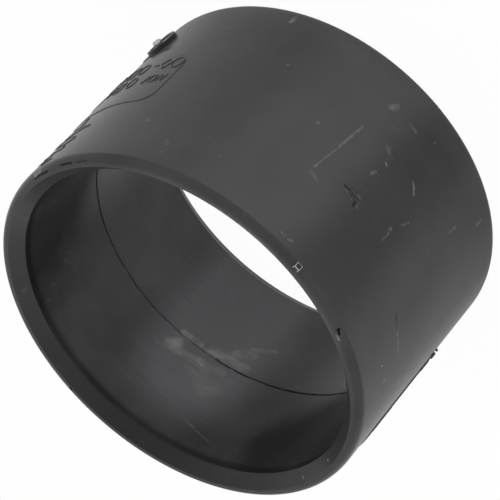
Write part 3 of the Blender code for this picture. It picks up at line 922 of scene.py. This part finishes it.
# Kind of shape, middle along the wall, foot above the lower rim, width and height.
MARK_ROWS = {
    "gate_panel_marks": {
        "side": 0.0, "base": 0.00010, "width": 0.00024, "crest share": 0.55, "crest": 0.00010, "shapes": [
            ("ring", -0.0102, 0.0131, 0.0018, 0.0022), ("diamond", -0.0082, 0.0131, 0.0016, 0.0023),
            ("dash", -0.0065, 0.0131, 0.0008, 0.0024), ("ring", -0.0039, 0.0131, 0.0017, 0.0023),
            ("box", -0.0016, 0.0131, 0.0016, 0.0023), ("zigzag", 0.0008, 0.0131, 0.0020, 0.0023),
            ("ring", 0.0032, 0.0131, 0.0018, 0.0023), ("bar", 0.0050, 0.0131, 0.0008, 0.0023),
            ("steps", 0.0068, 0.0131, 0.0018, 0.0023), ("diamond", 0.0092, 0.0131, 0.0018, 0.0023),
            ("zigzag", -0.0099, 0.0170, 0.0014, 0.0014), ("box", -0.0084, 0.0170, 0.0009, 0.0014),
            ("slash", -0.0072, 0.0170, 0.0007, 0.0016), ("ring", -0.0042, 0.0163, 0.0015, 0.0024),
            ("box", -0.0016, 0.0165, 0.0014, 0.0021), ("slash", 0.0002, 0.0165, 0.0010, 0.0021),
            ("steps", 0.0022, 0.0165, 0.0016, 0.0021), ("ring", 0.0046, 0.0165, 0.0016, 0.0021),
            ("bar", 0.0062, 0.0165, 0.0008, 0.0021), ("diamond", 0.0080, 0.0165, 0.0016, 0.0021),
        ],
    },
    "rim_marks": {
        "side": 0.0, "base": 0.0, "width": 0.00024, "crest share": 0.55, "crest": 0.00010, "shapes": [
            ("bar", -0.0006, 0.0236, 0.0010, 0.0022), ("arrow", -0.0014, 0.0256, 0.0048, 0.0020),
            ("ring", -0.0006, 0.0282, 0.0044, 0.0018), ("steps", -0.0004, 0.0306, 0.0036, 0.0014),
            ("diamond", -0.0002, 0.0324, 0.0032, 0.0016),
        ],
    },
    "back_bars": {
        "side": math.pi, "base": 0.0, "width": 0.00120, "crest share": 0.90, "crest": 0.00033, "shapes": [
            ("bar", -0.0056, 0.0116, 0.0, 0.0020), ("bar", -0.0028, 0.0116, 0.0, 0.0020),
            ("bar", 0.0, 0.0116, 0.0, 0.0020), ("bar", 0.0028, 0.0116, 0.0, 0.0020),
            ("bar", 0.0056, 0.0116, 0.0, 0.0020),
        ],
    },
    "back_dot": {
        "side": math.pi, "base": 0.0, "width": 0.00046, "crest share": 0.70, "crest": 0.00030, "shapes": [
            ("bar", 0.00825, 0.0110, 0.0, 0.00016),
        ],
    },
    "back_panel_marks": {
        "side": math.pi, "base": 0.00017, "width": 0.00030, "crest share": 0.55, "crest": 0.00004, "shapes": [
            ("ring", -0.0060, 0.0226, 0.0036, 0.0044), ("bar", -0.0030, 0.0226, 0.0010, 0.0044),
            ("diamond", 0.0000, 0.0226, 0.0036, 0.0044), ("bar", 0.0030, 0.0226, 0.0010, 0.0044),
            ("box", 0.0060, 0.0226, 0.0034, 0.0044), ("zigzag", -0.0050, 0.0162, 0.0040, 0.0036),
            ("dash", 0.0000, 0.0162, 0.0024, 0.0036), ("steps", 0.0050, 0.0162, 0.0040, 0.0036),
        ],
    },
}

marks_tree = make_marks_tree()
for name, row in MARK_ROWS.items():
    points = []
    edges = []
    for shape in row["shapes"]:
        for line in shape_lines(*shape):
            start = len(points)
            points += line
            edges += [(n, n + 1) for n in range(start, len(points) - 1)]
    strokes = bpy.data.meshes.new("strokes")
    strokes.from_pydata(points, edges, [])
    marks = make_shape(name, marks_tree, strokes, {
        "Stroke Width": row["width"], "Crest Share": row["crest share"], "Crest": row["crest"],
        "Root": MARK_ROOT + row["base"], "Wall Radius": OUTER_RADIUS + row["base"],
        "Side": row["side"], "Material": black_abs,
    })
    finish_piece(marks, black_abs, 35)

pip_profile = [(PIP_RADIUS + PAD_FOOT, -PAD_ROOT), (PIP_RADIUS + PAD_FOOT, 0.0), (PIP_RADIUS, PAD_FOOT)]
for step in range(5):
    angle = math.pi / 2 * step / 4
    pip_profile.append((
        PIP_RADIUS - PIP_ROUNDING * (1 - math.cos(angle)),
        PIP_HEIGHT - PIP_ROUNDING * (1 - math.sin(angle)),
    ))
pip_profile.append((PIP_RADIUS * 0.4, PIP_HEIGHT))
back_pip = make_turned_patch(
    "back_pip", pip_profile, STEPS_ROUND_PIP, math.pi + PIP_FROM_MIDDLE / OUTER_RADIUS, PIP_UP, PIP_HEIGHT,
)
finish_piece(back_pip, black_abs, 40)

# A small square nib fills the rounded edge of the upper rim where the parting
# ridge meets it. Its edges are rubbed pale.
NIB_SIZE = 0.00086
NIB_BELOW_RIM = 0.00016
NIB_ROUNDING = 0.00010
NIB_OVER_WALL = 0.00006
NIB_SIDE = -math.pi / 2
NIB_EDGE_COLOUR = (0.48, 0.48, 0.49, 1.0)

maker = bmesh.new()
bmesh.ops.create_cube(maker, size=NIB_SIZE)
reach = OUTER_RADIUS + NIB_OVER_WALL - NIB_SIZE / 2
bmesh.ops.translate(maker, verts=maker.verts, vec=(
    reach * math.cos(NIB_SIDE), reach * math.sin(NIB_SIDE), LENGTH - NIB_BELOW_RIM - NIB_SIZE / 2,
))
bmesh.ops.bevel(
    maker, geom=maker.edges[:], offset=NIB_ROUNDING, segments=2, profile=0.6, affect="EDGES", material=1,
)
nib_mesh = bpy.data.meshes.new("rim_nib")
maker.to_mesh(nib_mesh)
maker.free()
nib_mesh.materials.append(clean_abs)
nib_mesh.materials.append(make_bare_abs("pale_abs", NIB_EDGE_COLOUR, 0.5))
rim_nib = bpy.data.objects.new("rim_nib", nib_mesh)
bpy.context.scene.collection.objects.link(rim_nib)
finish_piece(rim_nib, clean_abs, 40)

# The studio is a white sweep under broad soft light. The coupling mirrors it
# all round, a little darker on the side where the camera stands.
FLOOR_SIZE = 4.0
FLOOR_HEIGHT = -2e-5
FLOOR_COLOUR = (0.9, 0.9, 0.9, 1.0)
WHITE = (1.0, 1.0, 1.0, 1.0)
WHITE_SHARE = 0.97

floor_mesh = bpy.data.meshes.new("floor")
half = FLOOR_SIZE / 2
floor_corners = [(x * half, y * half, FLOOR_HEIGHT) for x, y in ((-1, -1), (1, -1), (1, 1), (-1, 1))]
floor_mesh.from_pydata(floor_corners, [], [(0, 1, 2, 3)])
floor = bpy.data.objects.new("floor", floor_mesh)
bpy.context.scene.collection.objects.link(floor)
floor_white = bpy.data.materials.new("floor_white")
floor_white.use_nodes = True
tree = floor_white.node_tree
tree.nodes.clear()
path = add_node(tree, "ShaderNodeLightPath").outputs
seen = calculate(tree, "MAXIMUM", path["Is Camera Ray"], path["Is Transmission Ray"])
floor_place = add_node(tree, "ShaderNodeTexCoord").outputs["Object"]
floor_part = add_node(tree, "ShaderNodeSeparateXYZ", {0: floor_place}).outputs
from_axis = add_node(tree, "ShaderNodeVectorMath", {0: floor_place}, operation="LENGTH").outputs["Value"]
# Painted reflection: in mirrored rays only, the floor glows white under the bore and a little brighter
# towards +X.
in_the_bore = add_node(tree, "ShaderNodeMapRange", {
    "Value": from_axis, "From Min": 0.0240, "From Max": 0.0265, "To Min": WHITE_SHARE, "To Max": 0.0,
}).outputs[0]
beside = add_node(tree, "ShaderNodeMapRange", {
    "Value": floor_part["X"], "From Min": -0.03, "From Max": 0.03, "To Min": 0.02, "To Max": 0.29,
}).outputs[0]
mirrored = calculate(tree, "MULTIPLY", path["Is Glossy Ray"], calculate(tree, "MAXIMUM", in_the_bore, beside))
white_share = calculate(tree, "MAXIMUM", calculate(tree, "MULTIPLY", seen, WHITE_SHARE), mirrored)
diffuse = add_node(tree, "ShaderNodeBsdfDiffuse", {"Color": FLOOR_COLOUR})
glow = add_node(tree, "ShaderNodeEmission", {"Color": WHITE, "Strength": 1.0})
mixed = add_node(tree, "ShaderNodeMixShader", {0: white_share, 1: diffuse.outputs[0], 2: glow.outputs[0]})
add_node(tree, "ShaderNodeOutputMaterial", {"Surface": mixed.outputs[0]})
floor_mesh.materials.append(floor_white)
floor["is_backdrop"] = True

CAMERA_AIM = Vector((0.0, -0.00018, 0.01752))
CAMERA_DISTANCE = 0.3495
CAMERA_AZIMUTH = math.radians(-77.97)
CAMERA_ELEVATION = math.radians(37.73)
CAMERA_ROLL = math.radians(-138.21)
CAMERA_LENS = 192.085  # mm, on a sensor 36 mm wide
DIM_WITHIN = math.radians(20)  # of the camera's side of the room
BRIGHT_BEYOND = math.radians(65)
DIM_SKY = 0.45

world = bpy.data.worlds.new("studio")
bpy.context.scene.world = world
world.use_nodes = True
tree = world.node_tree
tree.nodes.clear()
toward_camera = Vector((
    math.cos(CAMERA_ELEVATION) * math.cos(CAMERA_AZIMUTH),
    math.cos(CAMERA_ELEVATION) * math.sin(CAMERA_AZIMUTH),
    math.sin(CAMERA_ELEVATION),
))
direction = add_node(tree, "ShaderNodeTexCoord").outputs["Generated"]
facing = add_node(tree, "ShaderNodeVectorMath", {
    0: direction, 1: toward_camera,
}, operation="DOT_PRODUCT").outputs["Value"]
sky = add_node(tree, "ShaderNodeMapRange", {
    "Value": facing, "From Min": math.cos(BRIGHT_BEYOND), "From Max": math.cos(DIM_WITHIN),
    "To Min": 1.0, "To Max": DIM_SKY,
}, interpolation_type="SMOOTHSTEP").outputs[0]
path = add_node(tree, "ShaderNodeLightPath").outputs
seen_sky = add_node(tree, "ShaderNodeMix", {
    "Factor": path["Is Camera Ray"], "A": sky, "B": 1.0,
}, data_type="FLOAT").outputs[0]
background = add_node(tree, "ShaderNodeBackground", {"Color": WHITE, "Strength": seen_sky})
add_node(tree, "ShaderNodeOutputWorld", {"Surface": background.outputs[0]})

camera_data = bpy.data.cameras.new("camera")
camera_data.lens = CAMERA_LENS
camera_data.sensor_width = 36.0
camera_data.clip_start = 0.01
camera_data.clip_end = 20.0
camera = bpy.data.objects.new("camera", camera_data)
bpy.context.scene.collection.objects.link(camera)
forward = -toward_camera
level = forward.cross(Vector((0, 0, 1))).normalized()
upright = level.cross(forward)
right = math.cos(CAMERA_ROLL) * level + math.sin(CAMERA_ROLL) * upright
up = right.cross(forward)
turn = Matrix((right, up, toward_camera)).transposed()
camera.matrix_world = Matrix.Translation(CAMERA_AIM + CAMERA_DISTANCE * toward_camera) @ turn.to_4x4()
bpy.context.scene.camera = camera
bpy.context.scene.view_settings.view_transform = "Standard"

size_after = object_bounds()
sizes = [[list(map(float, corner)) for corner in bounds] for bounds in (size_before, size_after)]
